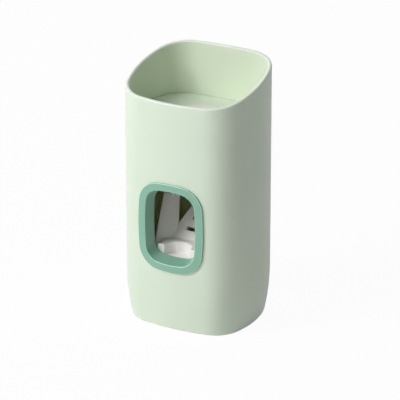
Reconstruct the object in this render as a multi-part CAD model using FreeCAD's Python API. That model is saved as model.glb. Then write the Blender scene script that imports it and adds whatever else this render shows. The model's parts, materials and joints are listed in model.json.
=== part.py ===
import FreeCAD
import Part
import math
import os

Vector = FreeCAD.Vector

# Toothpaste dispenser in millimetres: +Z up, front towards -Y, wall side towards +Y.
# The origin is the middle of the flat base.

# Casing
body_width = 75.6
body_depth = 63.7
rim_height_front = 132.4
rim_height_back = 147.6
side_radius = 62.0
front_radius = 121.0
back_radius = 290.0
corner_radius = 19.5
casing_wall = 2.2
casing_floor = 2.6
foot_height = 33.0
foot_inset = 3.3
foot_power = 2.45
foot_section_shares = (0.0, 0.14, 0.3, 0.48, 0.7, 1.0)
foot_edge_radius = 1.5
rim_edge_radius = 0.9
ledge_width = 2.4
ledge_depth = 3.0
ledge_place_share = 0.42

# Window bezel
window_width = 31.7
window_height = 42.8
window_centre_height = 61.3
window_side_radius = 150.0
window_end_radius = 62.0
window_corner_radius = 9.0
bezel_rim = 4.25
bezel_proud = 1.2
bezel_edge_radius = 0.45
bezel_gap = 0.2
bezel_depth = 7.2
bezel_taper = 2.0
sleeve_wall = 1.3
barb_height = 9.0
barb_reach = 0.9
barb_length = 2.2

# Wall bracket
bracket_width = 34.0
bracket_height = 44.0
bracket_thickness = 2.2
bracket_corner = 5.0
bracket_edge_radius = 0.7
bracket_centre_height = 96.0
hook_spacing = 18.0
hook_width = 8.0
hook_thickness = 3.0
hook_rise = 6.0
hook_tongue = 1.6
hook_lead = 0.8
hook_neck_height = 100.0
lift_off = 7.0
pad_thickness = 1.0
pad_margin = 2.5

# Tube deck and socket
deck_top = 116.5
deck_thickness = 2.4
deck_edge_radius = 0.6
socket_radius = 14.3
socket_proud = 0.8
socket_flange_radius = 18.0
socket_flange_thickness = 2.2
socket_body_radius = 12.2
socket_floor = 2.0
socket_depth = 11.8
socket_bore = 9.2
nut_width = 2.0
nut_height = 3.2
nut_notch_count = 12
nut_notch_radius = 0.7
neck_radius = 6.5
neck_length = 6.8
grommet_lip = 0.9
grommet_lip_height = 1.2
grommet_lead_in = 1.2

# Pump
spigot_radius = 6.0
spigot_length = 7.5
spigot_bore = 3.5
valve_flange = 1.4
valve_radius = 4.3
valve_length = 5.6
valve_wall = 0.9
valve_slit = 0.3
bladder_radius = 10.0
bladder_wall = 1.7
bladder_collar = 2.2
bladder_collar_length = 5.6
bladder_shoulder = 1.2
bulb_length = 10.0
clip_thickness = 1.3
clip_height = 4.0
clip_gap = 2.0
clip_ear = 2.6

# Nozzle
nozzle_flange_radius = 9.0
nozzle_flange_thickness = 1.6
nozzle_root_radius = 5.6
nozzle_tip_radius = 3.2
nozzle_tip_bore = 2.0
nozzle_drop = 2.6
nozzle_reach = 5.0
nozzle_tip_length = 1.2
outlet_wall = 0.8
outlet_grip = 1.2
outlet_slit_length = 3.2
outlet_slit = 0.4

# Pump frame
plate_thickness = 2.6
plate_half_width = 26.8
plate_front = 24.5
plate_corner = 4.0
shelf_thickness = 2.6
shelf_radius = 10.5
back_wall_front = 16.0
back_wall_thickness = 2.2
back_wall_half_width = 12.0
anvil_half_width = 6.5
anvil_half_height = 5.5
gusset_thickness = 1.8
gusset_height = 11.0
gusset_run = 10.0
back_rib_place = 6.5
back_rib_thickness = 1.8
back_rib_depth = 2.6
cheek_thickness = 2.5
cheek_radius = 4.6
boss_radius = 3.4
screw_x = 22.8
screw_front = 16.0
screw_back = 12.0
screw_radius = 1.3
screw_head_radius = 2.6
screw_head_height = 1.7
screw_bite = 1.2
screw_socket_radius = 1.3
screw_socket_depth = 0.9

# Pivot and springs
pivot_front = 19.0
pivot_height = 104.5
pin_radius = 1.5
pin_overhang = 1.9
pin_groove_radius = 1.1
pin_clip_radius = 2.9
pin_clip_thickness = 0.8
pin_clip_mouth = 1.7
spring_wire = 0.8
spring_radius = 2.6
spring_pitch = 1.3
spring_turns = 4
spring_outer_place = 11.5
spring_top_reach = 3.8
biarcs_per_turn = 4

# Push lever
arm_place = 15.5
arm_thickness = 2.2
hub_radius = 4.3
hub_length = 2.8
elbow_back = 5.5
elbow_height = 67.5
elbow_radius = 5.5
arm_panel_rim = 1.3
arm_panel_depth = 0.6
presser_height = 91.0
presser_depth = 3.3
presser_rise = 5.0
nose_half_width = 6.0
nose_edge_radius = 1.2
web_thickness = 2.0
web_lean_deg = 42.0
wing_turn_deg = 37.0
tongue_half_width = 9.0
tongue_tip_half_width = 2.9
tongue_length = 25.5
notch_start = 7.9
wing_root_width = 10.1
arm_inner_top = 5.0
arm_inner_length = 25.2
arm_outer_top = 14.6
arm_outer_length = 27.9
web_dip = 5.0
wing_lap = 2.5
slot_rise = 2.3
lower_slot_place = 6.2
lower_slot_half_width = 3.35
upper_slot_place = 12.8
upper_slot_half_width = 1.85

# Brush cradle
cradle_radius = 12.0
cradle_wall = 4.0
cradle_front = 24.1
cradle_top = 47.4
cradle_depth = 6.1
cradle_floor = 2.4
cradle_edge_radius = 0.7
foot_wall = 2.3
foot_floor = 2.0
foot_setback = 5.0
web_setback = 0.6

# Clearances
slide_clearance = 0.35
fit_clearance = 0.1
running_clearance = 0.05
hub_gap = 0.3
press_gap = 0.3
wall_gap = 0.3
overrun = 5.0

# Heights and places that follow from the sizes above
half_width = body_width / 2
half_depth = body_depth / 2
rim_slope = (rim_height_back - rim_height_front) / body_depth
rim_middle = (rim_height_back + rim_height_front) / 2
deck_under = deck_top - deck_thickness
socket_top = deck_top + socket_proud
flange_under = deck_under - socket_flange_thickness
plate_under = flange_under - plate_thickness
socket_bottom = socket_top - socket_depth
seat_height = socket_bottom + socket_floor
spigot_bottom = socket_bottom - spigot_length
bulb_top = spigot_bottom - valve_flange
bulb_bottom = bulb_top - bulb_length
shelf_top = bulb_bottom - bladder_collar_length
shelf_under = shelf_top - shelf_thickness
bulb_middle = (bulb_top + bulb_bottom) / 2
collar_radius = spigot_radius + bladder_collar
nozzle_under = shelf_under - nozzle_flange_thickness
tip_root = nozzle_under - nozzle_drop
tip_end = tip_root - nozzle_tip_length
pivot_y = -pivot_front
cheek_inner = arm_place - arm_thickness / 2 + hub_length + hub_gap
cheek_outer = cheek_inner + cheek_thickness
cradle_bottom = cradle_top - cradle_depth - cradle_floor
foot_bottom = cradle_bottom - foot_floor
cradle_y = -cradle_front
presser_back = -bladder_radius - press_gap
bracket_front = half_depth + wall_gap
bracket_back = bracket_front + bracket_thickness


# Basic solids
def block(x_low, x_high, y_low, y_high, z_low, z_high):
    return Part.makeBox(x_high - x_low, y_high - y_low, z_high - z_low, Vector(x_low, y_low, z_low))


def rod(radius, low, high, x=0, y=0):
    return Part.makeCylinder(radius, high - low, Vector(x, y, low))


def cross_rod(radius, x_low, x_high, y, z):
    return Part.makeCylinder(radius, x_high - x_low, Vector(x_low, y, z), Vector(1, 0, 0))


def polygon_face(points):
    return Part.Face(Part.makePolygon(points + points[:1]))


def turned(profile):
    """Solid of revolution about the Z axis from (radius, height) points."""
    face = polygon_face([Vector(radius, 0, height) for radius, height in profile])
    return face.revolve(Vector(0, 0, 0), Vector(0, 0, 1), 360)


def side_prism(profile, x_low, x_high):
    """Prism along X from (y, z) points."""
    face = polygon_face([Vector(x_low, y, z) for y, z in profile])
    return face.extrude(Vector(x_high - x_low, 0, 0))


def rounded_plate(x_low, x_high, y_low, y_high, z_low, z_high, radius):
    plate = block(x_low, x_high, y_low, y_high, z_low, z_high)
    uprights = [edge for edge in plate.Edges if edge.Vertexes[0].Point.z != edge.Vertexes[1].Point.z]
    return plate.makeFillet(radius, uprights)


def mirrored(shape):
    return shape.mirror(Vector(0, 0, 0), Vector(1, 0, 0))


def joined(shapes):
    return shapes[0].multiFuse(shapes[1:]).removeSplitter()


# Bulged outline with round corners
def outline_corner(half_x, half_y, side_bulge, end_bulge, corner):
    """Side tangent point, corner middle and end tangent point in the first quadrant."""
    side_centre = Vector(half_x - side_bulge, 0, 0)
    end_centre = Vector(0, half_y - end_bulge, 0)
    side_reach = side_bulge - corner
    end_reach = end_bulge - corner
    span = end_centre - side_centre
    along = (span.Length ** 2 + side_reach ** 2 - end_reach ** 2) / (2 * span.Length)
    across = math.sqrt(side_reach ** 2 - along ** 2)
    unit = span / span.Length
    foot = side_centre + unit * along
    normal = Vector(-unit.y, unit.x, 0)
    centre = max((foot + normal * across, foot - normal * across), key=lambda point: point.x + point.y)
    to_side = (centre - side_centre) / side_reach
    to_end = (centre - end_centre) / end_reach
    middle = to_side + to_end
    middle = centre + middle / middle.Length * corner
    return side_centre + to_side * side_bulge, middle, end_centre + to_end * end_bulge


def outline_edges(half_x, half_y, side_bulge, low_bulge, high_bulge, corner, place):
    """Eight arcs, counter-clockwise, carried into space by the function place(u, v)."""
    low = outline_corner(half_x, half_y, side_bulge, low_bulge, corner)
    high = outline_corner(half_x, half_y, side_bulge, high_bulge, corner)
    arcs = (
        ((low[0].x, -low[0].y), (half_x, 0), (high[0].x, high[0].y)),
        ((high[0].x, high[0].y), (high[1].x, high[1].y), (high[2].x, high[2].y)),
        ((high[2].x, high[2].y), (0, half_y), (-high[2].x, high[2].y)),
        ((-high[2].x, high[2].y), (-high[1].x, high[1].y), (-high[0].x, high[0].y)),
        ((-high[0].x, high[0].y), (-half_x, 0), (-low[0].x, -low[0].y)),
        ((-low[0].x, -low[0].y), (-low[1].x, -low[1].y), (-low[2].x, -low[2].y)),
        ((-low[2].x, -low[2].y), (0, -half_y), (low[2].x, -low[2].y)),
        ((low[2].x, -low[2].y), (low[1].x, -low[1].y), (low[0].x, -low[0].y)),
    )
    return [Part.Arc(*[place(*point) for point in arc]).toShape() for arc in arcs]


def body_wire(inset, height):
    """Plan outline of the casing, drawn in by inset, at a height."""
    return Part.Wire(outline_edges(
        half_width - inset, half_depth - inset, side_radius - inset, front_radius - inset,
        back_radius - inset, corner_radius - inset, lambda u, v: Vector(u, v, height)))


def window_wire(growth, y):
    """Front outline of the window, grown by growth, in the plane at y."""
    return Part.Wire(outline_edges(
        window_width / 2 + growth, window_height / 2 + growth, window_side_radius + growth,
        window_end_radius + growth, window_end_radius + growth, window_corner_radius + growth,
        lambda u, v: Vector(u, y, window_centre_height + v)))


def window_prism(growth, y_low, y_high):
    return Part.Face(window_wire(growth, y_low)).extrude(Vector(0, y_high - y_low, 0))


# Casing
def foot_draw(height):
    """How far the foot is drawn in at a height."""
    share = max(0, 1 - height / foot_height)
    return foot_inset * share ** foot_power


def casing_form(inset, bottom):
    """Closed form of the casing, drawn in by inset, from a bottom height to above the rim."""
    heights = [bottom + share * (foot_height - bottom) for share in foot_section_shares]
    foot = Part.makeLoft([body_wire(inset + foot_draw(height), height) for height in heights], True)
    column = Part.Face(body_wire(inset, foot_height))
    column = column.extrude(Vector(0, 0, rim_height_back + overrun - foot_height))
    return foot.fuse(column)


def rim_cut():
    """Everything above the sloping rim."""
    reach = half_depth + overrun
    ceiling = rim_height_back + overrun + overrun
    profile = ((-reach, rim_middle - rim_slope * reach), (reach, rim_middle + rim_slope * reach),
               (reach, ceiling), (-reach, ceiling))
    return side_prism(list(profile), -half_width - overrun, half_width + overrun)


def on_rim(edge):
    return all(abs(v.Point.z - rim_middle - rim_slope * v.Point.y) < running_clearance for v in edge.Vertexes)


def on_base(edge):
    return all(abs(v.Point.z) < running_clearance for v in edge.Vertexes)


def ledge_ribs(cavity):
    """Four upright ribs on the side walls that carry the deck."""
    ribs = []
    for side in (-1, 1):
        for end in (-1, 1):
            inner = half_width - casing_wall - ledge_depth
            x_low, x_high = sorted((side * inner, side * (half_width - running_clearance)))
            middle = end * ledge_place_share * half_depth
            rib = block(x_low, x_high, middle - ledge_width / 2, middle + ledge_width / 2,
                        casing_floor - running_clearance, deck_under)
            ribs.append(rib.common(cavity))
    return ribs


def hook_slots():
    """Two slots in the back wall for the bracket's hooks."""
    slots = []
    for side in (-1, 1):
        middle = side * hook_spacing / 2
        reach = hook_width / 2 + wall_gap
        slots.append(block(middle - reach, middle + reach, half_depth - casing_wall - overrun,
                           half_depth + overrun, hook_neck_height - lift_off - wall_gap,
                           hook_neck_height + hook_thickness + fit_clearance))
    return slots


def outer_shell():
    outer = casing_form(0, 0).removeSplitter()
    outer = outer.makeFillet(foot_edge_radius, [edge for edge in outer.Edges if on_base(edge)])
    cavity = casing_form(casing_wall, casing_floor).removeSplitter()
    shell = outer.cut(cavity).cut(rim_cut())
    shell = shell.makeFillet(rim_edge_radius, [edge for edge in shell.Edges if on_rim(edge)])
    shell = shell.multiFuse(ledge_ribs(cavity))
    window = window_prism(sleeve_wall + fit_clearance, -half_depth - overrun, -half_depth + bezel_depth)
    return shell.cut(window).cut(Part.makeCompound(hook_slots()))


def front_cylinder(growth):
    """Upright cylinder whose front is the casing's front face, grown by growth."""
    return rod(front_radius + growth, 0, rim_height_back, 0, front_radius - half_depth)


def front_face(x):
    """Place of the casing's front face at a distance x from the middle."""
    return front_radius - half_depth - math.sqrt(front_radius ** 2 - x ** 2)


def bezel_barbs():
    """Snap barbs on the sleeve's flanks, just behind the casing wall."""
    flank = window_width / 2 + sleeve_wall - bezel_taper / 2
    start = front_face(flank + barb_reach + bezel_taper / 2) + casing_wall + wall_gap
    low = window_centre_height - barb_height / 2
    profile = ((flank - sleeve_wall / 2, start), (window_width / 2 + sleeve_wall + barb_reach, start),
               (flank - sleeve_wall / 2, start + barb_length))
    face = polygon_face([Vector(x, y, low) for x, y in profile])
    barb = face.extrude(Vector(0, 0, barb_height))
    return [barb, mirrored(barb)]


def window_bezel():
    face_y = -half_depth - bezel_proud
    rear_y = -half_depth + bezel_depth
    inside_y = -half_depth + casing_wall + wall_gap
    front_lead = bezel_taper / (rear_y - face_y) * overrun
    passage = Part.makeLoft([window_wire(front_lead, face_y - overrun),
                             window_wire(-bezel_taper - front_lead, rear_y + overrun)], True, True)
    ring = window_prism(bezel_rim, face_y - overrun, inside_y).cut(passage)
    ring = ring.common(front_cylinder(bezel_proud)).cut(front_cylinder(bezel_gap))
    lips = [edge for edge in ring.Edges if edge_on_cylinder(edge, front_radius + bezel_proud)]
    ring = ring.makeFillet(bezel_edge_radius, lips)
    neck_front = (bezel_gap + bezel_proud - bezel_edge_radius) / 2
    neck = window_prism(sleeve_wall, face_y, inside_y).common(front_cylinder(neck_front))
    sleeve = Part.makeLoft([window_wire(sleeve_wall, inside_y),
                            window_wire(sleeve_wall - bezel_taper, rear_y)], True, True)
    return ring.fuse(joined([neck, sleeve] + bezel_barbs()).cut(passage))


def edge_on_cylinder(edge, radius):
    """True for an edge that lies on the upright cylinder of the casing's front."""
    axis = Vector(0, front_radius - half_depth, 0)
    points = [vertex.Point for vertex in edge.Vertexes] + [edge.valueAt(edge.FirstParameter)]
    points.append(edge.valueAt((edge.FirstParameter + edge.LastParameter) / 2))
    return all(abs(Vector(p.x, p.y - axis.y, 0).Length - radius) < running_clearance for p in points)


# Wall bracket
def wall_bracket():
    low = bracket_centre_height - bracket_height / 2
    high = bracket_centre_height + bracket_height / 2
    plate = block(-bracket_width / 2, bracket_width / 2, bracket_front, bracket_back, low, high)
    corners = [edge for edge in plate.Edges if edge.Vertexes[0].Point.y != edge.Vertexes[1].Point.y]
    plate = plate.makeFillet(bracket_corner, corners)
    rims = [edge for edge in plate.Edges if edge.BoundBox.YMin > bracket_back - running_clearance]
    pieces = [plate.makeFillet(bracket_edge_radius, rims)]
    wall_sag = (hook_spacing / 2 + hook_width / 2) ** 2 / back_radius / 2
    tongue_back = half_depth - casing_wall - wall_gap - wall_sag
    for side in (-1, 1):
        middle = side * hook_spacing / 2
        x_low = middle - hook_width / 2
        x_high = middle + hook_width / 2
        pieces.append(block(x_low, x_high, tongue_back - hook_tongue, bracket_front + bracket_thickness / 2,
                            hook_neck_height, hook_neck_height + hook_thickness))
        tip = hook_neck_height + hook_thickness + hook_rise
        pieces.append(side_prism([
            (tongue_back - hook_tongue, hook_neck_height), (tongue_back, hook_neck_height),
            (tongue_back, tip - hook_lead), (tongue_back - hook_lead, tip),
            (tongue_back - hook_tongue, tip)], x_low, x_high))
    return joined(pieces)


def adhesive_pad():
    half_x = bracket_width / 2 - pad_margin
    half_z = bracket_height / 2 - pad_margin
    pad = block(-half_x, half_x, bracket_back, bracket_back + pad_thickness,
                bracket_centre_height - half_z, bracket_centre_height + half_z)
    corners = [edge for edge in pad.Edges if edge.Vertexes[0].Point.y != edge.Vertexes[1].Point.y]
    return pad.makeFillet(bracket_corner - pad_margin / 2, corners)


# Tube deck and socket
def screw_places():
    return [(side * screw_x, y) for side in (-1, 1) for y in (-screw_front, screw_back)]


def tube_deck():
    plate = Part.Face(body_wire(casing_wall + slide_clearance, deck_under))
    deck = plate.extrude(Vector(0, 0, deck_thickness))
    rims = [edge for edge in deck.Edges if edge.BoundBox.ZMin > deck_top - running_clearance]
    deck = deck.makeFillet(deck_edge_radius, rims)
    boss_top = deck_under + deck_thickness / 2
    bosses = [rod(boss_radius, flange_under, boss_top, x, y) for x, y in screw_places()]
    deck = joined([deck] + bosses)
    deck = deck.cut(rod(socket_radius + fit_clearance, deck_under - overrun, deck_top + overrun))
    pilot_top = deck_under + screw_bite + fit_clearance
    for x, y in screw_places():
        deck = deck.cut(rod(screw_radius + fit_clearance, flange_under - overrun, pilot_top, x, y))
    return deck


def tube_socket():
    return turned([
        (spigot_bore, spigot_bottom), (spigot_radius, spigot_bottom), (spigot_radius, socket_bottom),
        (socket_body_radius, socket_bottom), (socket_body_radius, flange_under),
        (socket_flange_radius, flange_under), (socket_flange_radius, deck_under),
        (socket_radius, deck_under), (socket_radius, socket_top - rim_edge_radius / 2),
        (socket_radius - rim_edge_radius / 2, socket_top), (socket_bore, socket_top),
        (socket_bore, seat_height), (spigot_bore, seat_height)])


def socket_nut():
    outer = socket_body_radius + nut_width
    bottom = plate_under - nut_height
    nut = turned([(socket_body_radius + running_clearance, bottom), (outer, bottom), (outer, plate_under),
                  (socket_body_radius + running_clearance, plate_under)])
    notches = []
    for index in range(nut_notch_count):
        turn = 2 * math.pi * index / nut_notch_count
        notches.append(rod(nut_notch_radius, bottom - overrun, plate_under + overrun,
                           outer * math.cos(turn), outer * math.sin(turn)))
    return nut.cut(Part.makeCompound(notches))


def neck_grommet():
    lip_top = seat_height + grommet_lip_height
    lead_low = lip_top + neck_length
    lead_high = lead_low + grommet_lead_in
    return turned([
        (neck_radius - grommet_lip, seat_height), (socket_bore - running_clearance, seat_height),
        (socket_bore - running_clearance, lead_high), (neck_radius + grommet_lead_in, lead_high),
        (neck_radius, lead_low), (neck_radius, lip_top), (neck_radius - grommet_lip, lip_top)])


# Pump
def bill(radius, half_thickness, top, bottom):
    """Round rod flattened to a wedge towards its lower end."""
    wedge = side_prism([(-radius, top), (radius, top), (half_thickness, bottom), (-half_thickness, bottom)],
                       -radius, radius)
    return rod(radius, bottom, top).common(wedge)


def inlet_valve():
    bottom = bulb_top - valve_length
    flange = rod(spigot_radius - running_clearance, bulb_top, spigot_bottom)
    body = joined([flange, bill(valve_radius, valve_wall + valve_slit / 2, bulb_top, bottom)])
    throat = bill(valve_radius - valve_wall, valve_slit / 2, spigot_bottom, bottom + valve_wall)
    slit_reach = valve_radius - valve_wall
    slit = block(-slit_reach, slit_reach, -valve_slit / 2, valve_slit / 2,
                 bottom - overrun, bottom + valve_wall)
    return body.cut(throat).cut(slit)


def pump_bladder():
    """Silicone bulb between two collars, turned from lines and arcs."""
    bore = spigot_radius + running_clearance
    top = socket_bottom
    inner = bladder_radius - bladder_wall
    ledge = bulb_top - bladder_shoulder
    floor = bulb_bottom - bladder_shoulder
    shoulder_bore = valve_radius + running_clearance

    def at(radius, height):
        return Vector(radius, 0, height)

    edges = [
        Part.makeLine(at(bore, top), at(collar_radius, top)),
        Part.makeLine(at(collar_radius, top), at(collar_radius, spigot_bottom)),
        Part.Arc(at(collar_radius, spigot_bottom), at(bladder_radius, bulb_middle),
                 at(collar_radius, bulb_bottom)).toShape(),
        Part.makeLine(at(collar_radius, bulb_bottom), at(collar_radius, shelf_top)),
        Part.makeLine(at(collar_radius, shelf_top), at(bore, shelf_top)),
        Part.makeLine(at(bore, shelf_top), at(bore, floor)),
        Part.Arc(at(bore, floor), at(inner, bulb_middle), at(shoulder_bore, ledge)).toShape(),
        Part.makeLine(at(shoulder_bore, ledge), at(shoulder_bore, bulb_top)),
        Part.makeLine(at(shoulder_bore, bulb_top), at(bore, bulb_top)),
        Part.makeLine(at(bore, bulb_top), at(bore, top)),
    ]
    return Part.Face(Part.Wire(edges)).revolve(Vector(0, 0, 0), Vector(0, 0, 1), 360)


def bladder_clip(middle):
    """Open band round a collar with two ears behind its gap."""
    inner = collar_radius + running_clearance
    outer = inner + clip_thickness
    low = middle - clip_height / 2
    high = middle + clip_height / 2
    ears = block(-clip_gap / 2 - clip_thickness, clip_gap / 2 + clip_thickness, inner + clip_thickness / 2,
                 outer + clip_ear, low, high)
    band = rod(outer, low, high).fuse(ears).cut(rod(inner, low - overrun, high + overrun))
    mouth = block(-clip_gap / 2, clip_gap / 2, 0, outer + clip_ear + overrun, low - overrun, high + overrun)
    return band.cut(mouth)


def bladder_clip_upper():
    return bladder_clip((spigot_bottom + socket_bottom) / 2)


def bladder_clip_lower():
    return bladder_clip((shelf_top + bulb_bottom) / 2)


# Nozzle
def spout(root_radius, tip_radius, root, tip):
    """Cone that leads down and forward from the pump's axis to the tip's axis."""
    wires = []
    for radius, y, height in ((root_radius, 0, root), (tip_radius, -nozzle_reach, tip)):
        wires.append(Part.Wire(Part.makeCircle(radius, Vector(0, y, height))))
    return Part.makeLoft(wires, True, True)


def nozzle():
    spigot_top = bulb_bottom - bladder_shoulder
    body = joined([
        rod(spigot_radius, shelf_under, spigot_top),
        rod(nozzle_flange_radius, nozzle_under, shelf_under),
        spout(nozzle_root_radius, nozzle_tip_radius, nozzle_under, tip_root),
        rod(nozzle_tip_radius, tip_end, tip_root, 0, -nozzle_reach)])
    passage = joined([
        rod(spigot_bore, nozzle_under, spigot_top + overrun),
        spout(spigot_bore, nozzle_tip_bore, nozzle_under, tip_root),
        rod(nozzle_tip_bore, tip_end - overrun, tip_root, 0, -nozzle_reach)])
    return body.cut(passage)


def outlet_valve():
    """Cap over the nozzle's tip with crossed slits in its floor."""
    inner = nozzle_tip_radius + running_clearance
    floor = tip_end - outlet_wall
    top = tip_end + outlet_grip
    cap = turned([(0, floor), (inner, floor), (inner + outlet_wall, tip_end), (inner + outlet_wall, top),
                  (inner, top), (inner, tip_end), (0, tip_end)])
    cap.translate(Vector(0, -nozzle_reach, 0))
    reach = outlet_slit_length / 2
    for half_x, half_y in ((reach, outlet_slit / 2), (outlet_slit / 2, reach)):
        cap = cap.cut(block(-half_x, half_x, -nozzle_reach - half_y, -nozzle_reach + half_y,
                            floor - overrun, tip_end))
    return cap


# Pump frame
def frame_plate():
    back = back_wall_front + back_wall_thickness
    plate = rounded_plate(-plate_half_width, plate_half_width, -plate_front, back, plate_under, flange_under,
                          plate_corner)
    plate = plate.cut(rod(socket_body_radius + fit_clearance, plate_under - overrun, flange_under + overrun))
    for x, y in screw_places():
        plate = plate.cut(rod(screw_radius + fit_clearance, plate_under - overrun, flange_under + overrun,
                              x, y))
    return plate


def frame_cheek():
    """Lug on the right side that carries the pivot pin."""
    upright = block(cheek_inner, cheek_outer, pivot_y - cheek_radius, pivot_y + cheek_radius,
                    pivot_height, plate_under + plate_thickness / 2)
    eye = cross_rod(cheek_radius, cheek_inner, cheek_outer, pivot_y, pivot_height)
    hole = cross_rod(pin_radius + running_clearance, cheek_inner - overrun, cheek_outer + overrun,
                     pivot_y, pivot_height)
    return upright.fuse(eye).cut(hole)


def frame_back():
    """Back wall with the anvil that the bulb is squeezed against, and two ribs behind."""
    back = back_wall_front + back_wall_thickness
    wall = block(-back_wall_half_width, back_wall_half_width, back_wall_front, back, shelf_under,
                 plate_under + plate_thickness / 2)
    anvil = block(-anvil_half_width, anvil_half_width, bladder_radius + press_gap,
                  back_wall_front + back_wall_thickness / 2,
                  bulb_middle - anvil_half_height, bulb_middle + anvil_half_height)
    ribs = []
    for side in (-1, 1):
        middle = side * back_rib_place
        ribs.append(block(middle - back_rib_thickness / 2, middle + back_rib_thickness / 2,
                          back - back_wall_thickness / 2, back + back_rib_depth, shelf_under, plate_under))
    return wall.multiFuse([anvil] + ribs)


def frame_shelf():
    """Shelf round the nozzle's spigot, with two gussets to the back wall."""
    back = back_wall_front + back_wall_thickness
    deck = rod(shelf_radius, shelf_under, shelf_top)
    deck = deck.fuse(block(-shelf_radius, shelf_radius, 0, back, shelf_under, shelf_top))
    deck = deck.cut(rod(spigot_radius + fit_clearance, shelf_under - overrun, shelf_top + overrun))
    corner = back_wall_front + back_wall_thickness / 2
    low = shelf_top - shelf_thickness / 2
    profile = [(corner, low), (back_wall_front - gusset_run, low), (corner, shelf_top + gusset_height)]
    gusset = side_prism(profile, shelf_radius - gusset_thickness, shelf_radius)
    return joined([deck, gusset, mirrored(gusset)])


def pump_frame():
    cheek = frame_cheek()
    return joined([frame_plate(), cheek, mirrored(cheek), frame_back(), frame_shelf()])


def frame_screws():
    screws = []
    for x, y in screw_places():
        head = rod(screw_head_radius, plate_under - screw_head_height, plate_under, x, y)
        rims = [edge for edge in head.Edges if edge.BoundBox.ZMax < plate_under - screw_head_height / 2]
        head = head.makeFillet(screw_head_height / 2, rims)
        recess = rod(screw_socket_radius, plate_under - screw_head_height - overrun,
                     plate_under - screw_head_height + screw_socket_depth, x, y)
        shank = rod(screw_radius, plate_under - running_clearance, deck_under + screw_bite, x, y)
        screws.append(head.cut(recess).fuse(shank).removeSplitter())
    return Part.makeCompound(screws)


# Pivot and springs
def pivot_pin():
    end = cheek_outer + pin_overhang
    pin = cross_rod(pin_radius, -end, end, pivot_y, pivot_height)
    for side in (-1, 1):
        low, high = sorted((side * cheek_outer, side * (cheek_outer + pin_clip_thickness)))
        groove = cross_rod(pin_radius + overrun, low, high, pivot_y, pivot_height)
        pin = pin.cut(groove.cut(cross_rod(pin_groove_radius, low, high, pivot_y, pivot_height)))
    return pin


def pin_clips():
    """Retaining clips that snap up into the pin's grooves."""
    clips = []
    for side in (-1, 1):
        low, high = sorted((side * cheek_outer, side * (cheek_outer + pin_clip_thickness)))
        ring = cross_rod(pin_clip_radius, low, high, pivot_y, pivot_height)
        ring = ring.cut(cross_rod(pin_groove_radius, low, high, pivot_y, pivot_height))
        mouth = block(low, high, pivot_y - pin_clip_mouth / 2, pivot_y + pin_clip_mouth / 2,
                      pivot_height - pin_clip_radius - overrun, pivot_height)
        clips.append(ring.cut(mouth))
    return Part.makeCompound(clips)


def arc_from_tangent(start, tangent, end):
    """Arc that leaves start along tangent and ends at end."""
    chord = end - start
    along = chord / chord.Length
    across = tangent - along * tangent.dot(along)
    bend = math.atan2(across.Length, tangent.dot(along))
    middle = (start + end) / 2 + across / across.Length * (chord.Length / 2 * math.tan(bend / 2))
    return Part.Arc(start, middle, end).toShape()


def biarc(start, start_tangent, end, end_tangent):
    """Two arcs that join two points and meet both tangents."""
    span = end - start
    both = start_tangent + end_tangent
    spread = 2 * (1 - start_tangent.dot(end_tangent))
    reach = (math.sqrt(span.dot(both) ** 2 + spread * span.dot(span)) - span.dot(both)) / spread
    joint = (start + start_tangent * reach + end - end_tangent * reach) / 2
    first = arc_from_tangent(start, start_tangent, joint)
    second = arc_from_tangent(end, end_tangent * -1, joint)
    return [first, second]


def tangent_angle(y, z, turn):
    """Angle on the coil where a leg from the point (y, z) off the axis meets it."""
    return math.atan2(z, y) + turn * math.acos(spring_radius / math.hypot(y, z))


def coil_frame(angle, start):
    """Point and direction on the coil at an angle from its start."""
    pitch_rate = -spring_pitch / (2 * math.pi)
    point = Vector(spring_outer_place + pitch_rate * (angle - start),
                   pivot_y + spring_radius * math.cos(angle), pivot_height + spring_radius * math.sin(angle))
    heading = Vector(pitch_rate, -spring_radius * math.sin(angle), spring_radius * math.cos(angle))
    return point, heading / heading.Length


def spring_path():
    """Leg on the lever's presser, coil round the pin, and leg under the frame plate."""
    foot_y = presser_back - presser_depth + spring_wire / 2 + press_gap + pivot_front
    foot_z = presser_height + presser_rise / 2 - pivot_height
    top_z = plate_under - spring_wire / 2 - fit_clearance - pivot_height
    start = tangent_angle(foot_y, foot_z, 1)
    finish = tangent_angle(spring_top_reach, top_z, -1) + 2 * math.pi * spring_turns
    count = spring_turns * biarcs_per_turn
    angles = [start + (finish - start) * index / count for index in range(count + 1)]
    stations = [coil_frame(angle, start) for angle in angles]
    first, first_heading = stations[0]
    last, last_heading = stations[-1]
    foot_reach = math.sqrt(foot_y ** 2 + foot_z ** 2 - spring_radius ** 2) + presser_rise / 2
    top_reach = math.sqrt(spring_top_reach ** 2 + top_z ** 2 - spring_radius ** 2)
    edges = [Part.makeLine(first - first_heading * foot_reach, first)]
    for (point, heading), (next_point, next_heading) in zip(stations, stations[1:]):
        edges += biarc(point, heading, next_point, next_heading)
    edges.append(Part.makeLine(last, last + last_heading * top_reach))
    return Part.Wire(Part.sortEdges(edges)[0])


def least_turn_gap(path):
    """Least clear distance between turns that lie over half a turn apart."""
    turn_length = 2 * math.pi * spring_radius
    step = spring_wire / 2
    points = path.discretize(Distance=step)
    skip = int(turn_length / 2 / step)
    pairs = ((points[i], points[k]) for i in range(len(points)) for k in range(i + skip, len(points)))
    return min((a - b).Length for a, b in pairs) - spring_wire


def return_spring_right():
    path = spring_path()
    print("return spring: least gap between turns %.2f mm" % least_turn_gap(path))
    start = path.OrderedEdges[0]
    heading = start.tangentAt(start.FirstParameter)
    section = Part.Wire(Part.makeCircle(spring_wire / 2, start.valueAt(start.FirstParameter), heading))
    sweep = Part.BRepOffsetAPI.MakePipeShell(path)
    sweep.add(section)
    sweep.build()
    sweep.makeSolid()
    return sweep.shape()


def return_spring_left():
    return mirrored(return_spring_right())


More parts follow.
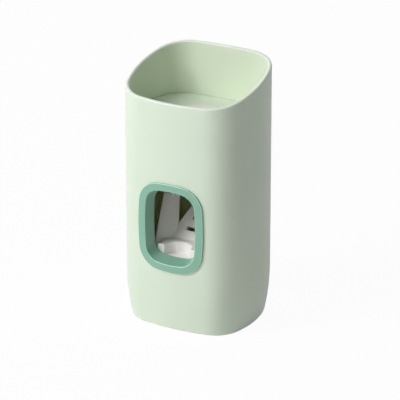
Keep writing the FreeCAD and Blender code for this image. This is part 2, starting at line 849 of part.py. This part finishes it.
# Push lever
def link_face(x, first, first_radius, second, second_radius):
    """Bar outline with two round ends in the plane at x; the ends are (y, z) points."""
    start = Vector(x, *first)
    end = Vector(x, *second)
    span = end - start
    turn = math.acos((first_radius - second_radius) / span.Length)
    unit = span / span.Length
    normal = Vector(0, -unit.z, unit.y)
    touch = {}
    for side in (-1, 1):
        touch[side] = unit * math.cos(turn) + normal * math.sin(turn) * side
    edges = [
        Part.makeLine(start + touch[1] * first_radius, end + touch[1] * second_radius),
        Part.Arc(end + touch[1] * second_radius, end + unit * second_radius,
                 end + touch[-1] * second_radius).toShape(),
        Part.makeLine(end + touch[-1] * second_radius, start + touch[-1] * first_radius),
        Part.Arc(start + touch[-1] * first_radius, start - unit * first_radius,
                 start + touch[1] * first_radius).toShape(),
    ]
    return Part.Face(Part.Wire(edges))


def lever_arm():
    """Right side arm from the hub on the pin down to the elbow, with a sunk panel outside."""
    inner = arm_place - arm_thickness / 2
    ends = (pivot_y, pivot_height), (elbow_back, elbow_height)
    face = link_face(inner, ends[0], hub_radius, ends[1], elbow_radius)
    arm = face.extrude(Vector(arm_thickness, 0, 0))
    panel_floor = inner + arm_thickness - arm_panel_depth
    panel = link_face(panel_floor, ends[0], hub_radius - arm_panel_rim, ends[1], elbow_radius - arm_panel_rim)
    panel = panel.extrude(Vector(arm_panel_depth + overrun, 0, 0))
    hub = cross_rod(hub_radius, inner, inner + hub_length, pivot_y, pivot_height)
    return arm.cut(panel).fuse(hub)


def presser():
    """Bar between the arms with a round nose in front of the bulb."""
    front = presser_back - 2 * presser_depth
    middle = presser_back - presser_depth
    low = presser_height - presser_rise / 2
    high = presser_height + presser_rise / 2
    bar = block(-arm_place, arm_place, front, middle, low, high)
    nose = block(-nose_half_width, nose_half_width, front, presser_back, low, high)
    tips = [edge for edge in nose.Edges if edge.BoundBox.YMin > middle]
    return bar.fuse(nose.makeFillet(nose_edge_radius, tips))


def web_directions():
    """Unit directions up the leaning web, out along the right wing, and across the web."""
    lean = math.radians(web_lean_deg)
    turn = math.radians(wing_turn_deg)
    up = Vector(0, math.sin(lean), math.cos(lean))
    out = Vector(math.cos(turn), -math.sin(turn), 0)
    return up, out, Vector(1, 0, 0)


def web_root():
    """Middle of the line where the tongue leaves the cradle's top."""
    return Vector(0, cradle_y + cradle_radius + web_setback, cradle_top)


def web_plate(root, across, points):
    """Plate behind the plane of two slanted directions, from (across, up) points."""
    up = web_directions()[0]
    face = polygon_face([root + across * a + up * b for a, b in points])
    normal = up.cross(across)
    normal = normal / normal.Length
    if normal.y < 0:
        normal = normal * -1
    return face.extrude(normal * web_thickness)


def lever_wing():
    """Right wing that widens into the foot of the side arm."""
    up, out, across = web_directions()
    root = web_root() + across * tongue_half_width
    return web_plate(root, out, [
        (wing_root_width, -web_dip), (-wing_lap, -web_dip), (-wing_lap, notch_start - wing_lap),
        (0, notch_start), (arm_inner_top, arm_inner_length), (arm_outer_top, arm_outer_length),
        (wing_root_width, 0)])


def tongue_slot(place, slot_half_width):
    up, out, across = web_directions()
    low = place - slot_rise / 2
    high = place + slot_rise / 2
    face = polygon_face([web_root() + across * a + up * b for a, b in (
        (-slot_half_width, low), (slot_half_width, low), (slot_half_width, high), (-slot_half_width, high))])
    normal = up.cross(across)
    face.translate(normal * overrun)
    return face.extrude(normal * -(2 * overrun))


def lever_tongue():
    """Middle of the web: tapers upward and has two slots."""
    across = web_directions()[2]
    tongue = web_plate(web_root(), across, [
        (-tongue_half_width, -web_dip), (tongue_half_width, -web_dip), (tongue_half_width, notch_start),
        (tongue_tip_half_width, tongue_length), (-tongue_tip_half_width, tongue_length),
        (-tongue_half_width, notch_start)])
    tongue = tongue.cut(tongue_slot(lower_slot_place, lower_slot_half_width))
    return tongue.cut(tongue_slot(upper_slot_place, upper_slot_half_width))


def lever_foot():
    """Half-round holder behind and under the brush cradle."""
    outer = cradle_radius + fit_clearance + foot_wall
    holder = rod(outer, foot_bottom, cradle_top, 0, cradle_y)
    front = block(-outer, outer, cradle_y - outer, cradle_y + foot_setback, foot_bottom, cradle_top)
    return holder.cut(front)


def push_lever():
    arm = lever_arm()
    wing = lever_wing()
    lever = joined([arm, mirrored(arm), presser(), wing, mirrored(wing), lever_tongue(), lever_foot()])
    pocket = rod(cradle_radius + fit_clearance, cradle_bottom, cradle_top + web_dip, 0, cradle_y)
    front = block(-cradle_radius, cradle_radius, cradle_y - overrun, cradle_y, cradle_bottom, cradle_top)
    pin_hole = cross_rod(pin_radius + running_clearance, -cheek_outer, cheek_outer, pivot_y, pivot_height)
    return lever.cut(pocket).cut(front).cut(pin_hole)


def brush_cradle():
    """Half-round cup that catches the tip of a brush."""
    ring = rod(cradle_radius, cradle_bottom, cradle_top, 0, cradle_y)
    hollow = rod(cradle_radius - cradle_wall, cradle_bottom + cradle_floor, cradle_top + overrun, 0, cradle_y)
    front = block(-cradle_radius, cradle_radius, cradle_y - cradle_radius - overrun, cradle_y,
                  cradle_bottom - overrun, cradle_top + overrun)
    cradle = ring.cut(hollow).cut(front)
    tops = [edge for edge in cradle.Edges if edge.BoundBox.ZMin > cradle_top - running_clearance]
    return cradle.makeFillet(cradle_edge_radius, tops)


NODES = (
    outer_shell, window_bezel, wall_bracket, adhesive_pad, tube_deck, tube_socket, socket_nut, neck_grommet,
    inlet_valve, pump_bladder, bladder_clip_upper, bladder_clip_lower, nozzle, outlet_valve, pump_frame,
    frame_screws, pivot_pin, pin_clips, return_spring_left, return_spring_right, push_lever, brush_cradle,
)

os.makedirs("parts", exist_ok=True)
for make in NODES:
    shape = make()
    print("%-20s solids %d  valid %s  volume %.1f" % (
        make.__name__, len(shape.Solids), shape.isValid(), shape.Volume))
    shape.exportStep("parts/%s.step" % make.__name__)
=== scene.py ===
import bmesh
import bpy
import json
import math
from mathutils import Matrix, Vector


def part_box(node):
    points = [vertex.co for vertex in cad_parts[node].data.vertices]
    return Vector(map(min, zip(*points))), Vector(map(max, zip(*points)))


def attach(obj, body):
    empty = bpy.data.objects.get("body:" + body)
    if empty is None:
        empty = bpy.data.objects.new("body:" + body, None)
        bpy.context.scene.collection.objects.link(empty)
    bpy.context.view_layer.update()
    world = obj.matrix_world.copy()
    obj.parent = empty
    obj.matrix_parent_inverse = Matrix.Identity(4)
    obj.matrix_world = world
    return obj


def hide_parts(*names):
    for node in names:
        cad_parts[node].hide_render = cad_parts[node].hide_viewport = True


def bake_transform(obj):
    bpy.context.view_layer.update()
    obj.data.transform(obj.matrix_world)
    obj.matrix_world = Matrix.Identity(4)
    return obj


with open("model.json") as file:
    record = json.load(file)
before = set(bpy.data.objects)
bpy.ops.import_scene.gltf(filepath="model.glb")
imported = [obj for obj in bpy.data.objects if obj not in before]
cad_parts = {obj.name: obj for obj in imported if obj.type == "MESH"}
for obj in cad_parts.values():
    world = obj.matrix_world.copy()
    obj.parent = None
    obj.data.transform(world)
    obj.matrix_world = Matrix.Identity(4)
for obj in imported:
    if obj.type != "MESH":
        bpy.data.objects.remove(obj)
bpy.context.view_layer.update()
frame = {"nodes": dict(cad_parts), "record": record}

# Lengths are in metres, and in millimetres where a name ends in _mm. Angles end in _deg.
MM = 0.001

object_middle = 70.0 * MM

# Camera
camera_azimuth_deg = 29.047
camera_elevation_deg = 21.922
camera_distance = 1583.3 * MM
camera_lens_mm = 259.8
camera_sensor_mm = 36.0
camera_target_right = 0.89 * MM
camera_target_up = -3.09 * MM

# Colours, in linear light
mint_colour = (0.74, 0.83, 0.70)
mint_shade = (0.715, 0.81, 0.675)
# Painted highlight on the casing's rim
rim_highlight_colour = (0.81, 0.875, 0.775)
# Painted shade inside the casing: tint of its inside walls, and olive of its bay below the deck
painted_cup_shade = (0.74, 0.82, 0.665)
bay_painted_shade = (0.74, 0.79, 0.42)
green_colour = (0.255, 0.495, 0.37)
green_shade = (0.24, 0.475, 0.35)
# Painted highlight on the bezel's rounded edges
green_edge_highlight = (0.52, 0.84, 0.72)
white_colour = (0.92, 0.885, 0.865)
white_shade = (0.88, 0.845, 0.825)
silicone_colour = (0.78, 0.79, 0.77)
silicone_shade = (0.70, 0.72, 0.70)
steel_colour = (0.62, 0.62, 0.63)
steel_shade = (0.48, 0.48, 0.50)
foam_colour = (0.86, 0.86, 0.83)
foam_shade = (0.76, 0.76, 0.72)

# Moulded finishes
colour_feature = 35 * MM
gloss_feature = 9 * MM
gloss_detail = 3
grain_detail = 3
grain_noise_roughness = 0.6
grain_strength = 0.35
noise_low = 0.3
noise_high = 0.7
edge_samples = 4
plastic_ior = 1.48

# Light that the casing's thin walls let through
through_share = 0.3
through_reach = 1.5 * MM

# Painted shade on the casing's inside walls, by how far a wall faces outward, and in the bay below the deck
inside_from = -0.1
inside_full = -0.5
bay_fade = 3 * MM

# Painted highlight on the casing's rim, by how far it faces up, above a height between the deck and the rim
rim_from = 0.15
rim_full = 0.45
rim_low = 125.0 * MM
rim_fade = 1.0 * MM

# Painted highlight on the bezel's rounded edges, by how far they face the front
edge_from = 0.28
edge_full = 0.36
face_full = 0.88
face_from = 0.95


# Materials
def new_material(name):
    material = bpy.data.materials.new(name)
    material.use_nodes = True
    return material, material.node_tree.nodes, material.node_tree.links


def noise(nodes, links, place, feature, detail=2.0, roughness=0.5):
    """Noise texture whose features are about one feature length across."""
    node = nodes.new("ShaderNodeTexNoise")
    node.inputs["Scale"].default_value = 1 / feature
    node.inputs["Detail"].default_value = detail
    node.inputs["Roughness"].default_value = roughness
    links.new(place, node.inputs["Vector"])
    return node.outputs["Fac"]


def spread(nodes, links, value, low, high):
    """Maps the middle of a noise to the range from low to high."""
    node = nodes.new("ShaderNodeMapRange")
    node.inputs["From Min"].default_value = noise_low
    node.inputs["From Max"].default_value = noise_high
    node.inputs["To Min"].default_value = low
    node.inputs["To Max"].default_value = high
    links.new(value, node.inputs["Value"])
    return node.outputs["Result"]


def ramp(nodes, links, value, start, end):
    """Rises from zero at start to one at end."""
    node = nodes.new("ShaderNodeMapRange")
    node.inputs["From Min"].default_value = start
    node.inputs["From Max"].default_value = end
    links.new(value, node.inputs["Value"])
    return node.outputs["Result"]


def product(nodes, links, first, second):
    node = nodes.new("ShaderNodeMath")
    node.operation = "MULTIPLY"
    links.new(first, node.inputs[0])
    links.new(second, node.inputs[1])
    return node.outputs[0]


def mixed(nodes, links, share, first, second):
    """Mix of two colours, each one a tuple or a node's output."""
    node = nodes.new("ShaderNodeMix")
    node.data_type = "RGBA"
    for socket, colour in ((node.inputs["A"], first), (node.inputs["B"], second)):
        if isinstance(colour, tuple):
            socket.default_value = (*colour, 1)
        else:
            links.new(colour, socket)
    links.new(share, node.inputs["Factor"])
    return node.outputs["Result"]


def moulded(name, colour, shade, rough_low, rough_high, grain, grain_depth, round_over):
    """Moulded plastic: slow drift of colour and gloss, a fine satin grain and softened edges."""
    material, nodes, links = new_material(name)
    shader = nodes["Principled BSDF"]
    place = nodes.new("ShaderNodeTexCoord").outputs["Object"]
    drift = spread(nodes, links, noise(nodes, links, place, colour_feature), 0, 1)
    links.new(mixed(nodes, links, drift, colour, shade), shader.inputs["Base Color"])
    gloss = noise(nodes, links, place, gloss_feature, gloss_detail)
    links.new(spread(nodes, links, gloss, rough_low, rough_high), shader.inputs["Roughness"])
    edge = nodes.new("ShaderNodeBevel")
    edge.samples = edge_samples
    edge.inputs["Radius"].default_value = round_over
    bump = nodes.new("ShaderNodeBump")
    bump.inputs["Distance"].default_value = grain_depth
    bump.inputs["Strength"].default_value = grain_strength
    height = noise(nodes, links, place, grain, grain_detail, grain_noise_roughness)
    links.new(height, bump.inputs["Height"])
    links.new(edge.outputs["Normal"], bump.inputs["Normal"])
    links.new(bump.outputs["Normal"], shader.inputs["Normal"])
    shader.inputs["IOR"].default_value = plastic_ior
    return material


def let_light_through(material):
    """Thin walls let some light in, scattered over about the reach."""
    shader = material.node_tree.nodes["Principled BSDF"]
    shader.inputs["Subsurface Weight"].default_value = through_share
    shader.inputs["Subsurface Radius"].default_value = (1, 1, 1)
    shader.inputs["Subsurface Scale"].default_value = through_reach


def overlay(material, share, colour):
    """Mixes a colour into the material's own by the share."""
    nodes = material.node_tree.nodes
    links = material.node_tree.links
    base = nodes["Principled BSDF"].inputs["Base Color"]
    own = base.links[0].from_socket
    links.new(mixed(nodes, links, share, own, colour), base)


def height_output(nodes, links):
    """Height of a point on the piece."""
    place = nodes.new("ShaderNodeSeparateXYZ")
    links.new(nodes.new("ShaderNodeTexCoord").outputs["Object"], place.inputs[0])
    return place.outputs["Z"]


def inside_shade_share(nodes, links):
    """One on walls that face the upright axis, zero on those that face away from it."""
    geometry = nodes.new("ShaderNodeNewGeometry")
    flat = nodes.new("ShaderNodeVectorMath")
    flat.operation = "MULTIPLY"
    flat.inputs[1].default_value = (1, 1, 0)
    links.new(geometry.outputs["Position"], flat.inputs[0])
    outward = nodes.new("ShaderNodeVectorMath")
    outward.operation = "NORMALIZE"
    links.new(flat.outputs[0], outward.inputs[0])
    facing = nodes.new("ShaderNodeVectorMath")
    facing.operation = "DOT_PRODUCT"
    links.new(geometry.outputs["True Normal"], facing.inputs[0])
    links.new(outward.outputs[0], facing.inputs[1])
    return ramp(nodes, links, facing.outputs["Value"], inside_from, inside_full)


def paint_inside_shade(material, bay_top):
    """Paints shade onto the walls inside the casing as a yellower tint, most of all in the bay below the
    deck.
    """
    nodes = material.node_tree.nodes
    links = material.node_tree.links
    depth = ramp(nodes, links, height_output(nodes, links), bay_top, bay_top - bay_fade)
    painted_inner_shade = mixed(nodes, links, depth, painted_cup_shade, bay_painted_shade)
    overlay(material, inside_shade_share(nodes, links), painted_inner_shade)


def paint_rim_highlight(material):
    """Painted highlight: a lighter line along the casing's thin rim, where it faces up."""
    nodes = material.node_tree.nodes
    links = material.node_tree.links
    heading = nodes.new("ShaderNodeSeparateXYZ")
    links.new(nodes.new("ShaderNodeNewGeometry").outputs["Normal"], heading.inputs[0])
    upward = ramp(nodes, links, heading.outputs["Z"], rim_from, rim_full)
    high = ramp(nodes, links, height_output(nodes, links), rim_low, rim_low + rim_fade)
    overlay(material, product(nodes, links, upward, high), rim_highlight_colour)


def paint_edge_highlights(material):
    """Painted highlight: lighter lines along the rounded edges between the bezel's face and its sides."""
    nodes = material.node_tree.nodes
    links = material.node_tree.links
    facing = nodes.new("ShaderNodeVectorMath")
    facing.operation = "DOT_PRODUCT"
    facing.inputs[1].default_value = (0, -1, 0)
    links.new(nodes.new("ShaderNodeNewGeometry").outputs["Normal"], facing.inputs[0])
    ahead = facing.outputs["Value"]
    off_side = ramp(nodes, links, ahead, edge_from, edge_full)
    off_face = ramp(nodes, links, ahead, face_from, face_full)
    overlay(material, product(nodes, links, off_side, off_face), green_edge_highlight)


# Colour, shade, lowest and highest roughness, grain's size and depth, and softening of edges
mint_finish = (mint_colour, mint_shade, 0.42, 0.48, 0.5 * MM, 0.02 * MM, 0.1 * MM)
green_finish = (green_colour, green_shade, 0.28, 0.34, 0.5 * MM, 0.015 * MM, 0.1 * MM)
white_finish = (white_colour, white_shade, 0.34, 0.4, 0.4 * MM, 0.02 * MM, 0.2 * MM)
silicone_finish = (silicone_colour, silicone_shade, 0.5, 0.6, 0.3 * MM, 0.02 * MM, 0.3 * MM)
steel_finish = (steel_colour, steel_shade, 0.22, 0.34, 0.2 * MM, 0.01 * MM, 0.1 * MM)
foam_finish = (foam_colour, foam_shade, 0.8, 0.9, 0.6 * MM, 0.15 * MM, 0.1 * MM)

mint_plastic = moulded("mint_plastic", *mint_finish)
casing_plastic = moulded("casing_plastic", *mint_finish)
let_light_through(casing_plastic)
# Painted shade on the casing's inside walls and bay
paint_inside_shade(casing_plastic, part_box("tube_deck")[0].z)
# Painted highlight on the casing's rim
paint_rim_highlight(casing_plastic)
green_plastic = moulded("green_plastic", *green_finish)
# Painted highlight on the bezel's rounded edges
paint_edge_highlights(green_plastic)
white_plastic = moulded("white_plastic", *white_finish)
silicone = moulded("silicone", *silicone_finish)
steel = moulded("steel", *steel_finish)
steel.node_tree.nodes["Principled BSDF"].inputs["Metallic"].default_value = 1.0
foam = moulded("adhesive_foam", *foam_finish)

finish_of_slot = {
    "mint_plastic": mint_plastic, "green_plastic": green_plastic, "white_plastic": white_plastic,
    "silicone": silicone, "steel": steel, "adhesive_foam": foam,
}
for subpart in frame["record"]["subparts"]:
    node = frame["nodes"][subpart["node"]]
    node.data.materials.clear()
    node.data.materials.append(finish_of_slot[subpart["material_slot"]])
frame["nodes"]["outer_shell"].data.materials[0] = casing_plastic


# Meshes
def new_piece(name, mesh, finish, smooth_deg):
    """Piece of the scene, shaded smooth over edges flatter than the angle."""
    for face in mesh.polygons:
        face.use_smooth = True
    mesh.set_sharp_from_angle(angle=math.radians(smooth_deg))
    mesh.materials.append(finish)
    piece = bpy.data.objects.new(name, mesh)
    bpy.context.scene.collection.objects.link(piece)
    return piece


def skin(name, rings):
    """Mesh through rings of as many points each, with its two ends filled."""
    mesh = bpy.data.meshes.new(name)
    count = len(rings[0])
    points = [point for ring in rings for point in ring]
    faces = []
    for row in range(len(rings) - 1):
        for k in range(count):
            near = row * count
            far = near + count
            faces.append((near + k, near + (k + 1) % count, far + (k + 1) % count, far + k))
    faces.append(tuple(reversed(range(count))))
    faces.append(tuple(range((len(rings) - 1) * count, len(rings) * count)))
    mesh.from_pydata(points, [], faces)
    mesh.update()
    return tidy_normals(mesh)


def tidy_normals(mesh):
    work = bmesh.new()
    work.from_mesh(mesh)
    bmesh.ops.recalc_face_normals(work, faces=work.faces)
    work.to_mesh(mesh)
    work.free()
    return mesh


def tube_rings(path, radius, sides):
    """Rings round a path, without twist, drawn in at its two ends."""
    headings = []
    for k in range(len(path)):
        ahead = path[min(k + 1, len(path) - 1)]
        behind = path[max(k - 1, 0)]
        headings.append((ahead - behind).normalized())
    across = headings[0].orthogonal().normalized()
    rings = []
    for k, (point, heading) in enumerate(zip(path, headings)):
        if k:
            across = headings[k - 1].rotation_difference(heading) @ across
        over = heading.cross(across)
        at_end = k in (0, len(path) - 1)
        reach = radius * (end_round_share if at_end else 1)
        ring = []
        for side in range(sides):
            turn = 2 * math.pi * side / sides
            ring.append(point + (across * math.cos(turn) + over * math.sin(turn)) * reach)
        rings.append(ring)
    return rings


# Return springs
spring_wire = 0.8 * MM
spring_radius = 2.6 * MM
spring_pitch = 1.3 * MM
spring_turns = 4
spring_foot = (6.1 * MM, -11.0 * MM)
spring_top = (3.8 * MM, 4.3 * MM)
spring_foot_spare = 2.5 * MM
spring_sides = 14
steps_per_turn = 36
leg_steps = 16
end_round_share = 0.72
spring_smooth_deg = 60


def leg_angle(point, turn):
    """Angle on the coil where a leg from the point (y, z) off the axis meets it."""
    return math.atan2(point[1], point[0]) + turn * math.acos(spring_radius / math.hypot(*point))


def leg_length(point):
    return math.sqrt(point[0] ** 2 + point[1] ** 2 - spring_radius ** 2)


def spring_path(side):
    """Leg on the lever, coil round the pin and leg under the frame plate, on one side."""
    pin_low, pin_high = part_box("pivot_pin")
    axis = (pin_low + pin_high) / 2
    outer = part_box("return_spring_right")[1].x - spring_wire / 2
    start = leg_angle(spring_foot, 1)
    finish = leg_angle(spring_top, -1) + 2 * math.pi * spring_turns
    rate = spring_pitch / (2 * math.pi)

    def coil(angle):
        return Vector((side * (outer - rate * (angle - start)), axis.y + spring_radius * math.cos(angle),
                       axis.z + spring_radius * math.sin(angle)))

    def heading(angle):
        return Vector((-side * rate, -spring_radius * math.sin(angle),
                       spring_radius * math.cos(angle))).normalized()

    steps = steps_per_turn * spring_turns
    angles = [start + (finish - start) * k / steps for k in range(steps + 1)]
    foot_reach = leg_length(spring_foot) + spring_foot_spare
    foot = [coil(start) - heading(start) * foot_reach * (1 - k / leg_steps) for k in range(leg_steps)]
    top_reach = leg_length(spring_top)
    top = [coil(finish) + heading(finish) * top_reach * (k + 1) / leg_steps for k in range(leg_steps)]
    bend_from = coil(start) - heading(start) * spring_radius
    bend_to = coil(start) - heading(start) * (leg_length(spring_foot) - spring_wire)
    return foot + [coil(angle) for angle in angles] + top, bend_from, bend_to


def return_spring(side, node):
    path, bend_from, bend_to = spring_path(side)
    mesh = skin(node, tube_rings(path, spring_wire / 2, spring_sides))
    spring = new_piece("wound_" + node, mesh, steel, spring_smooth_deg)
    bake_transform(spring)
    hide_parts(node)


return_spring(1, "return_spring_right")
return_spring(-1, "return_spring_left")

# Silicone bulb
collar_radius = 8.2 * MM
collar_bore = 6.1 * MM
bulb_radius = 10.0 * MM
bulb_wall = 1.7 * MM
bulb_shoulder_height = 98.0 * MM
bulb_foot_height = 86.6 * MM
bulb_sides = 96
bulb_steps = 20
collar_round = 0.5 * MM
bulb_smooth_deg = 40


def bulb_outline(collar_end, shoulder, equator):
    """Closed (radius, height) outline of half of the bulb, from its collar to its equator."""
    step = 1 if collar_end > shoulder else -1
    outline = [(collar_bore, collar_end), (collar_radius - collar_round, collar_end),
               (collar_radius, collar_end - step * collar_round), (collar_radius, shoulder)]
    drop = equator - shoulder

    def swelling(radius, widest, share):
        return radius + (widest - radius) * math.sin(share * math.pi / 2), shoulder + drop * share

    outline += [swelling(collar_radius, bulb_radius, k / bulb_steps) for k in range(1, bulb_steps + 1)]
    inner_radius = bulb_radius - bulb_wall
    outline += [swelling(collar_bore, inner_radius, k / bulb_steps) for k in range(bulb_steps, -1, -1)]
    return outline


def turned(name, outline, sides):
    """Closed mesh of revolution about the Z axis from a closed (radius, height) outline."""
    mesh = bpy.data.meshes.new(name)
    points = []
    for side in range(sides):
        turn = 2 * math.pi * side / sides
        points += [(radius * math.cos(turn), radius * math.sin(turn), height) for radius, height in outline]
    count = len(outline)
    faces = []
    for side in range(sides):
        near = side * count
        far = (side + 1) % sides * count
        for k in range(count):
            ahead = (k + 1) % count
            faces.append((near + k, near + ahead, far + ahead, far + k))
    mesh.from_pydata(points, [], faces)
    mesh.update()
    return tidy_normals(mesh)


def bulb_half(name, collar_end, shoulder):
    """Half of the bulb, from its collar on the spigot to its equator."""
    equator = (bulb_shoulder_height + bulb_foot_height) / 2
    mesh = turned(name, bulb_outline(collar_end, shoulder, equator), bulb_sides)
    half = new_piece(name, mesh, silicone, bulb_smooth_deg)
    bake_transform(half)
    return half


bladder_low, bladder_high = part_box("pump_bladder")
upper_half = bulb_half("bulb_upper", bladder_high.z, bulb_shoulder_height)
lower_half = bulb_half("bulb_lower", bladder_low.z, bulb_foot_height)
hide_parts("pump_bladder")
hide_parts("pump_bladder")

# Adhesive pad
pad_corner = 3.75 * MM
pad_edge_sink = 0.25 * MM
pad_layers = 8
pad_corner_steps = 10
pad_smooth_deg = 50


def pad_ring(low, high, sink, y):
    """Round-cornered outline of the pad, drawn in by sink, at a depth y."""
    ring = []
    radius = pad_corner - sink
    for k in range(4):
        right = k in (0, 3)
        upper = k in (0, 1)
        centre_x = high.x - pad_corner if right else low.x + pad_corner
        centre_z = high.z - pad_corner if upper else low.z + pad_corner
        for step in range(pad_corner_steps + 1):
            turn = math.pi / 2 * (k + step / pad_corner_steps)
            ring.append(Vector((centre_x + radius * math.cos(turn), y, centre_z + radius * math.sin(turn))))
    return ring


def foam_pad():
    low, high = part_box("adhesive_pad")
    rings = []
    for k in range(pad_layers + 1):
        share = k / pad_layers
        sink = pad_edge_sink * (2 * share - 1) ** 2
        rings.append(pad_ring(low, high, sink, low.y + (high.y - low.y) * share))
    pad = new_piece("foam_pad", skin("foam_pad", rings), foam, pad_smooth_deg)
    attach(pad, "wall_bracket")
    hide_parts("adhesive_pad")


foam_pad()


# Floor, background and light
def ray_share(nodes, links, names):
    """One for rays of the named kinds and zero for the rest."""
    path = nodes.new("ShaderNodeLightPath")
    total = path.outputs[names[0]]
    for name in names[1:]:
        most = nodes.new("ShaderNodeMath")
        most.operation = "MAXIMUM"
        links.new(total, most.inputs[0])
        links.new(path.outputs[name], most.inputs[1])
        total = most.outputs[0]
    return total


seen_rays = ("Is Camera Ray", "Is Glossy Ray", "Is Transmission Ray")
ambient = (0.01, 0.01, 0.01)
floor_glow_share = 0.955
lamp_distance = 1.8
lamp_size = 0.9
# Name, azimuth and elevation in degrees, and power in watts
lamp_table = (
    ("key", -35, 38, 19.8),
    ("side", -48, 22, 5.5),
    ("fill", 20, 15, 3.5),
    ("top", -20, 72, 2.4),
    ("back_right", 128, 24, 1.5),
    ("back_left", -130, 28, 5.5),
    ("back", 180, 30, 5),
)
floor_half = 6.0
floor_drop = 0.1 * MM
floor_colour = (0.9, 0.9, 0.9)
floor_roughness = 0.9


def white_world():
    world = bpy.data.worlds.new("studio")
    bpy.context.scene.world = world
    world.use_nodes = True
    nodes = world.node_tree.nodes
    links = world.node_tree.links
    soft = nodes["Background"]
    soft.inputs["Color"].default_value = (*ambient, 1)
    white = nodes.new("ShaderNodeBackground")
    white.inputs["Color"].default_value = (1, 1, 1, 1)
    mix = nodes.new("ShaderNodeMixShader")
    links.new(ray_share(nodes, links, seen_rays), mix.inputs[0])
    links.new(soft.outputs[0], mix.inputs[1])
    links.new(white.outputs[0], mix.inputs[2])
    links.new(mix.outputs[0], nodes["World Output"].inputs["Surface"])


def pale_floor():
    mesh = bpy.data.meshes.new("floor")
    corners = [(x * floor_half, y * floor_half, -floor_drop) for x, y in ((-1, -1), (1, -1), (1, 1), (-1, 1))]
    mesh.from_pydata(corners, [], [(0, 1, 2, 3)])
    floor = bpy.data.objects.new("floor", mesh)
    bpy.context.scene.collection.objects.link(floor)
    material, nodes, links = new_material("floor")
    shader = nodes["Principled BSDF"]
    shader.inputs["Base Color"].default_value = (*floor_colour, 1)
    shader.inputs["Roughness"].default_value = floor_roughness
    glow = nodes.new("ShaderNodeEmission")
    share = nodes.new("ShaderNodeMath")
    share.operation = "MULTIPLY"
    share.inputs[1].default_value = floor_glow_share
    links.new(ray_share(nodes, links, seen_rays), share.inputs[0])
    mix = nodes.new("ShaderNodeMixShader")
    links.new(share.outputs[0], mix.inputs[0])
    links.new(shader.outputs[0], mix.inputs[1])
    links.new(glow.outputs[0], mix.inputs[2])
    links.new(mix.outputs[0], nodes["Material Output"].inputs["Surface"])
    mesh.materials.append(material)


def direction(azimuth_deg, elevation_deg):
    """Unit vector from the object towards a place round it; azimuth 0 is in front."""
    azimuth = math.radians(azimuth_deg)
    elevation = math.radians(elevation_deg)
    level = math.cos(elevation)
    return Vector((math.sin(azimuth) * level, -math.cos(azimuth) * level, math.sin(elevation)))


def soft_lamp(name, azimuth_deg, elevation_deg, power):
    lamp = bpy.data.lights.new(name, "AREA")
    lamp.shape = "DISK"
    lamp.size = lamp_size
    lamp.energy = power
    away = direction(azimuth_deg, elevation_deg)
    holder = bpy.data.objects.new(name, lamp)
    holder.location = Vector((0, 0, object_middle)) + away * lamp_distance
    holder.rotation_mode = "QUATERNION"
    holder.rotation_quaternion = (-away).to_track_quat("-Z", "Y")
    bpy.context.scene.collection.objects.link(holder)


def photo_camera():
    back = direction(camera_azimuth_deg, camera_elevation_deg)
    right = Vector((0, 0, 1)).cross(back).normalized()
    up = back.cross(right)
    target = Vector((0, 0, object_middle)) + right * camera_target_right + up * camera_target_up
    data = bpy.data.cameras.new("camera")
    data.lens = camera_lens_mm
    data.sensor_width = camera_sensor_mm
    camera = bpy.data.objects.new("camera", data)
    turn = Matrix((right, up, back)).transposed()
    camera.matrix_world = Matrix.Translation(target + back * camera_distance) @ turn.to_4x4()
    bpy.context.scene.collection.objects.link(camera)
    bpy.context.scene.camera = camera


white_world()
pale_floor()
photo_camera()
for name, azimuth_deg, elevation_deg, power in lamp_table:
    soft_lamp(name, azimuth_deg, elevation_deg, power)
bpy.context.scene.view_settings.view_transform = "Standard"
